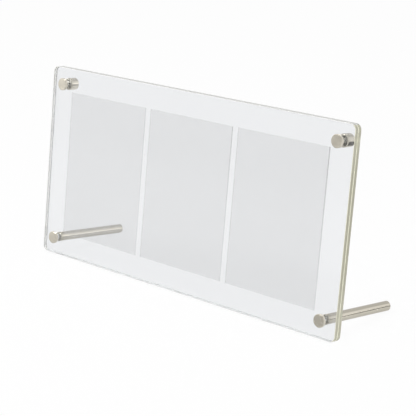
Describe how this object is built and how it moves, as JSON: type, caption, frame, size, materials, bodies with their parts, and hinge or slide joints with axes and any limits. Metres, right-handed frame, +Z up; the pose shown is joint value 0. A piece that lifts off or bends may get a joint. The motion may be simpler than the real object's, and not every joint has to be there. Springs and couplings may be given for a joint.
{
  "type": "acrylic photo frame",
  "caption": "Free-standing photo frame: photographs held between clear sheets by capped studs, leaning back on long round legs.",
  "frame": {"origin": "on the table, under the middle of the frame's width and of its depth from the caps to the leg ends", "axes": "+X across the front from left to right as seen from the front, -Y is where the front faces, +Z up from the table"},
  "size_m": [0.46, 0.1184, 0.227],
  "materials": {
    "clear_acrylic": "clear, polished faces and edges",
    "photo_film": "thin translucent grey film",
    "satin_cap_steel": "turned and brushed, satin",
    "satin_rod_steel": "drawn rod, satin to bright",
    "thread_steel": "bright cut thread",
    "clear_washer": "clear soft plastic"
  },
  "bodies": {
    "stand": {"rear_sheet": "clear_acrylic", "rear_washer_upper_left": "clear_washer", "rear_washer_upper_right": "clear_washer", "rear_washer_lower_left": "clear_washer", "rear_washer_lower_right": "clear_washer", "upper_barrel_left": "satin_rod_steel", "upper_barrel_right": "satin_rod_steel", "leg_left": "satin_rod_steel", "leg_right": "satin_rod_steel"},
    "front_sheet": {"front_sheet": "clear_acrylic"},
    "photo_left": {"photo_left": "photo_film"},
    "photo_centre": {"photo_centre": "photo_film"},
    "photo_right": {"photo_right": "photo_film"},
    "front_washer_upper_left": {"front_washer_upper_left": "clear_washer"},
    "cap_upper_left": {"cap_upper_left": "satin_cap_steel", "stud_upper_left": "thread_steel"},
    "front_washer_upper_right": {"front_washer_upper_right": "clear_washer"},
    "cap_upper_right": {"cap_upper_right": "satin_cap_steel", "stud_upper_right": "thread_steel"},
    "front_washer_lower_left": {"front_washer_lower_left": "clear_washer"},
    "cap_lower_left": {"cap_lower_left": "satin_cap_steel", "stud_lower_left": "thread_steel"},
    "front_washer_lower_right": {"front_washer_lower_right": "clear_washer"},
    "cap_lower_right": {"cap_lower_right": "satin_cap_steel", "stud_lower_right": "thread_steel"}
  },
  "joints": [
    {"name": "front_sheet_off", "type": "slide", "parent": "stand", "child": "front_sheet", "axis": [0, -0.9905, 0.1378], "range_m": [0, 0.04]},
    {"name": "photo_left_lift", "type": "slide", "parent": "stand", "child": "photo_left", "axis": [0, 0.1378, 0.9905], "range_m": [0, 0.2]},
    {"name": "photo_centre_lift", "type": "slide", "parent": "stand", "child": "photo_centre", "axis": [0, 0.1378, 0.9905], "range_m": [0, 0.2]},
    {"name": "photo_right_lift", "type": "slide", "parent": "stand", "child": "photo_right", "axis": [0, 0.1378, 0.9905], "range_m": [0, 0.2]},
    {"name": "cap_upper_left_travel", "type": "slide", "parent": "front_sheet", "child": "front_washer_upper_left", "axis": [0, -0.9905, 0.1378], "range_m": [0, 0.008]},
    {"name": "cap_upper_left_turn", "type": "hinge", "parent": "front_washer_upper_left", "child": "cap_upper_left", "pos_m": [-0.21, -0.02862, 0.20728], "axis": [0, -0.9905, 0.1378], "range_deg": [0, 2880]},
    {"name": "cap_upper_right_travel", "type": "slide", "parent": "front_sheet", "child": "front_washer_upper_right", "axis": [0, -0.9905, 0.1378], "range_m": [0, 0.008]},
    {"name": "cap_upper_right_turn", "type": "hinge", "parent": "front_washer_upper_right", "child": "cap_upper_right", "pos_m": [0.21, -0.02862, 0.20728], "axis": [0, -0.9905, 0.1378], "range_deg": [0, 2880]},
    {"name": "cap_lower_left_travel", "type": "slide", "parent": "front_sheet", "child": "front_washer_lower_left", "axis": [0, -0.9905, 0.1378], "range_m": [0, 0.008]},
    {"name": "cap_lower_left_turn", "type": "hinge", "parent": "front_washer_lower_left", "child": "cap_lower_left", "pos_m": [-0.21, -0.05453, 0.02108], "axis": [0, -0.9905, 0.1378], "range_deg": [0, 2880]},
    {"name": "cap_lower_right_travel", "type": "slide", "parent": "front_sheet", "child": "front_washer_lower_right", "axis": [0, -0.9905, 0.1378], "range_m": [0, 0.008]},
    {"name": "cap_lower_right_turn", "type": "hinge", "parent": "front_washer_lower_right", "child": "cap_lower_right", "pos_m": [0.21, -0.05453, 0.02108], "axis": [0, -0.9905, 0.1378], "range_deg": [0, 2880]}
  ],
  "couplings": [
    {"joint": "cap_upper_left_travel", "follows": "cap_upper_left_turn", "m_per_rad": 0.00015915},
    {"joint": "cap_upper_right_travel", "follows": "cap_upper_right_turn", "m_per_rad": 0.00015915},
    {"joint": "cap_lower_left_travel", "follows": "cap_lower_left_turn", "m_per_rad": 0.00015915},
    {"joint": "cap_lower_right_travel", "follows": "cap_lower_right_turn", "m_per_rad": 0.00015915}
  ]
}
